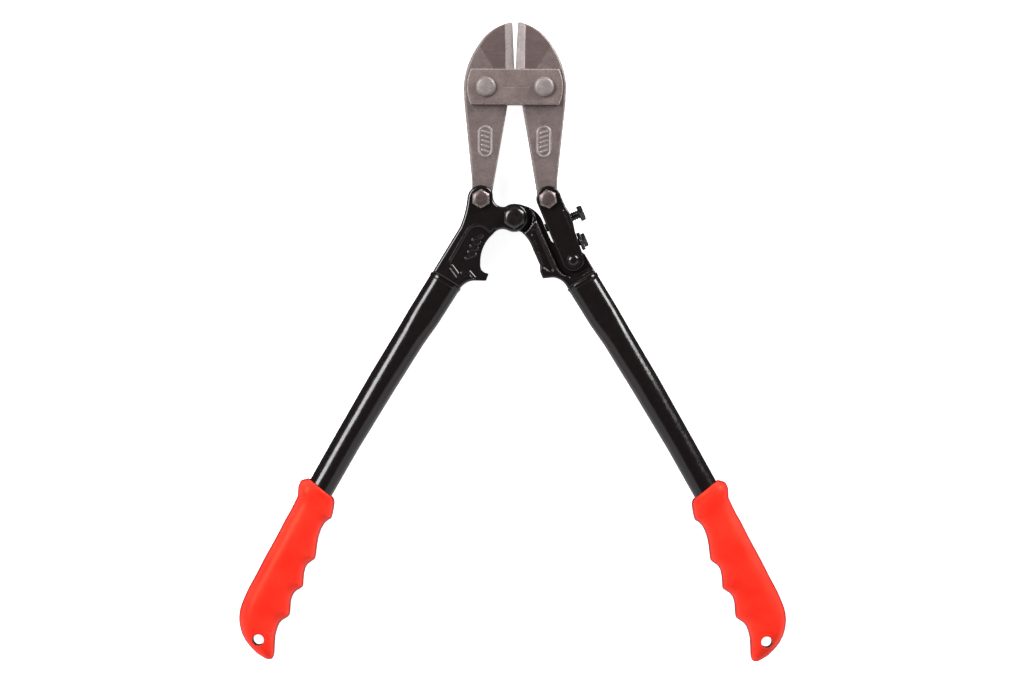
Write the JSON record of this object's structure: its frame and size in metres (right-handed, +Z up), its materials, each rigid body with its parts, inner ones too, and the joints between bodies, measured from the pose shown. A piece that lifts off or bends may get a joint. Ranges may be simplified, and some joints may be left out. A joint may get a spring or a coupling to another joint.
{
  "type": "bolt cutters",
  "caption": "Long-handled compound-lever cutters: two pivoting steel jaws, link plates, forged heads, tube handles, moulded grips and a side adjusting link.",
  "frame": {"origin": "centre of the tool's outline in plan, on the surface it lies on", "axes": "+Y from the grips to the jaws, +X to the tool's right (the adjusting link's side), +Z up through the thickness, along every pivot's axis"},
  "size_m": [0.3594, 0.4195, 0.028],
  "materials": {
    "jaw_steel": "satin, ground edges",
    "plate_steel": "satin",
    "bolt_steel": "satin",
    "black_oxide": "semi-gloss black",
    "black_paint": "gloss black",
    "grip_vinyl": "soft gloss red"
  },
  "bodies": {
    "link_plates": {"link_plate_front": "plate_steel", "link_plate_back": "plate_steel", "jaw_pivot_left": "plate_steel", "jaw_pivot_right": "plate_steel", "jaw_pivot_nut_left": "bolt_steel", "jaw_pivot_nut_right": "bolt_steel"},
    "jaw_left": {"jaw_left": "jaw_steel"},
    "jaw_right": {"jaw_right": "jaw_steel"},
    "handle_left": {"handle_head_left": "black_paint", "handle_tube_left": "black_paint", "grip_left": "grip_vinyl", "tail_bolt_left": "bolt_steel", "tail_washer_left": "bolt_steel", "tail_nut_left": "bolt_steel", "centre_bolt": "black_oxide", "centre_washer": "black_oxide", "centre_nut": "black_oxide"},
    "adjusting_link": {"adjusting_link": "black_paint", "tail_bolt_right": "bolt_steel", "tail_washer_right": "bolt_steel", "tail_nut_right": "bolt_steel", "link_pin": "black_paint", "lock_nut": "black_oxide"},
    "handle_right": {"handle_head_right": "black_paint", "handle_tube_right": "black_paint", "grip_right": "grip_vinyl"},
    "push_screw": {"push_screw": "black_oxide"},
    "lock_screw": {"lock_screw": "black_oxide"}
  },
  "joints": [
    {"name": "handle_left_swing", "type": "hinge", "parent": "jaw_left", "child": "handle_left", "pos_m": [-0.0219, 0.0933, 0.014], "axis": [0, 0, 1], "range_deg": [-20.25, 19.8]},
    {"name": "jaw_left_pivot", "type": "hinge", "parent": "link_plates", "child": "jaw_left", "pos_m": [-0.0191, 0.1669, 0.014], "axis": [0, 0, 1], "range_deg": [-2.2, 2.25]},
    {"name": "jaw_right_pivot", "type": "hinge", "parent": "link_plates", "child": "jaw_right", "pos_m": [0.0191, 0.1669, 0.014], "axis": [0, 0, 1], "range_deg": [-2.25, 2.2]},
    {"name": "adjusting_link_swing", "type": "hinge", "parent": "jaw_right", "child": "adjusting_link", "pos_m": [0.0219, 0.0933, 0.014], "axis": [0, 0, 1], "range_deg": [-19.8, 20.25]},
    {"name": "adjuster_tilt", "type": "hinge", "parent": "adjusting_link", "child": "handle_right", "pos_m": [0.0387, 0.0533, 0.014], "axis": [0, 0, 1], "range_deg": [-1, 1]},
    {"name": "push_screw_travel", "type": "slide", "parent": "adjusting_link", "child": "push_screw", "axis": [0.922, 0.3872, 0], "range_m": [-0.0005, 0.0005]},
    {"name": "lock_screw_travel", "type": "slide", "parent": "adjusting_link", "child": "lock_screw", "axis": [0.922, 0.3872, 0], "range_m": [0, 0.003]}
  ],
  "couplings": [
    {"joint": "jaw_left_pivot", "follows": "handle_left_swing", "ratio": -0.11111},
    {"joint": "jaw_right_pivot", "follows": "handle_left_swing", "ratio": 0.11111},
    {"joint": "adjusting_link_swing", "follows": "handle_left_swing", "ratio": -1},
    {"joint": "push_screw_travel", "follows": "adjuster_tilt", "m_per_rad": -0.026585}
  ]
}
